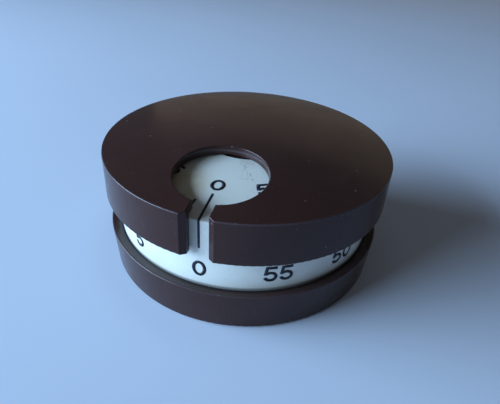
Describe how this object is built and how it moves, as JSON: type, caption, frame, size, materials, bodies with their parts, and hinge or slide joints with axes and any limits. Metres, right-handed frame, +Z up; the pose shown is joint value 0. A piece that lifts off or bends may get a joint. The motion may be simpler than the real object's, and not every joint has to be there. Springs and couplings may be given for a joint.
{
  "type": "kitchen timer",
  "caption": "Round wind-up kitchen timer: a domed cap with an off-centre window and a slot turns over a fixed white dial on a low round base.",
  "frame": {"origin": "on the table under the middle of the round base", "axes": "+Z up along the cap's axis, -Y from the axis towards the slot and the zero mark, +X to the right seen from the slot side"},
  "size_m": [0.07, 0.0699, 0.0323],
  "materials": {
    "brown_plastic": "semi-gloss moulded, dark chocolate brown",
    "white_plastic": "satin moulded, off-white with dark printed numerals",
    "black_plastic": "plain moulded",
    "foot_rubber": "matt",
    "plate_steel": "zinc plated sheet",
    "screw_steel": "bright zinc",
    "arbor_steel": "turned, polished",
    "spring_steel": "blued spring strip and wire",
    "bell_steel": "plated",
    "train_brass": "stamped and turned"
  },
  "bodies": {
    "case": {"dial": "white_plastic", "base_shell": "brown_plastic", "rubber_feet": "foot_rubber", "case_screws": "screw_steel", "lower_plate": "plate_steel", "upper_plate": "plate_steel", "arbor_bush": "train_brass", "thrust_washer": "plate_steel", "pillar_sleeves": "arbor_steel", "movement_screws": "screw_steel", "stop_post": "arbor_steel", "mainspring": "spring_steel", "spring_anchor": "arbor_steel", "lever_stud": "arbor_steel", "lever_spring": "spring_steel", "bell": "bell_steel", "bell_post": "arbor_steel", "bell_nut": "screw_steel", "bell_post_rivets": "screw_steel", "hammer_spring": "spring_steel", "lift_lever": "black_plastic"},
    "setting": {"setting_cap": "brown_plastic", "main_arbor": "arbor_steel", "great_wheel": "train_brass", "ratchet_wheel": "arbor_steel", "click": "arbor_steel", "click_stud": "arbor_steel", "click_spring": "spring_steel", "release_cam": "black_plastic"},
    "second": {"second_arbor": "arbor_steel", "second_pinion": "arbor_steel", "second_wheel": "train_brass"},
    "third": {"third_arbor": "arbor_steel", "third_pinion": "arbor_steel", "third_wheel": "train_brass"},
    "escape": {"escape_arbor": "arbor_steel", "escape_pinion": "arbor_steel", "escape_wheel": "train_brass"},
    "pallet": {"pallet_arbor": "arbor_steel", "pallet_anchor": "arbor_steel", "inertia_bar": "train_brass"},
    "strike": {"strike_arbor": "arbor_steel", "strike_pinion": "arbor_steel", "star_wheel": "train_brass"},
    "hammer": {"hammer_arbor": "arbor_steel", "hammer_arm": "arbor_steel", "hammer_head": "train_brass", "hammer_verge": "arbor_steel"}
  },
  "joints": [
    {"name": "cap_turn", "type": "hinge", "parent": "case", "child": "setting", "pos_m": [0, 0, 0.03], "axis": [0, 0, 1], "range_deg": [-342, 0]},
    {"name": "second_spin", "type": "hinge", "parent": "case", "child": "second", "pos_m": [-0.01247, 0.0072, 0.016], "axis": [0, 0, 1], "range_deg": [0, 1710]},
    {"name": "third_spin", "type": "hinge", "parent": "case", "child": "third", "pos_m": [-0.01468, -0.00306, 0.016], "axis": [0, 0, 1], "range_deg": [-6840, 0]},
    {"name": "escape_spin", "type": "hinge", "parent": "case", "child": "escape", "pos_m": [-0.01076, -0.01116, 0.016], "axis": [0, 0, 1], "range_deg": [0, 27360]},
    {"name": "strike_spin", "type": "hinge", "parent": "case", "child": "strike", "pos_m": [0.01103, 0.00926, 0.016], "axis": [0, 0, 1], "range_deg": [0, 1710]},
    {"name": "pallet_rock", "type": "hinge", "parent": "case", "child": "pallet", "pos_m": [-0.00371, -0.01402, 0.016], "axis": [0, 0, 1], "range_deg": [-3, 3]},
    {"name": "hammer_rock", "type": "hinge", "parent": "case", "child": "hammer", "pos_m": [0.01311, 0.01804, 0.016], "axis": [0, 0, 1], "range_deg": [-5, 2]}
  ],
  "couplings": [
    {"joint": "second_spin", "follows": "cap_turn", "ratio": -5},
    {"joint": "third_spin", "follows": "cap_turn", "ratio": 20},
    {"joint": "escape_spin", "follows": "cap_turn", "ratio": -80},
    {"joint": "strike_spin", "follows": "cap_turn", "ratio": -5}
  ]
}
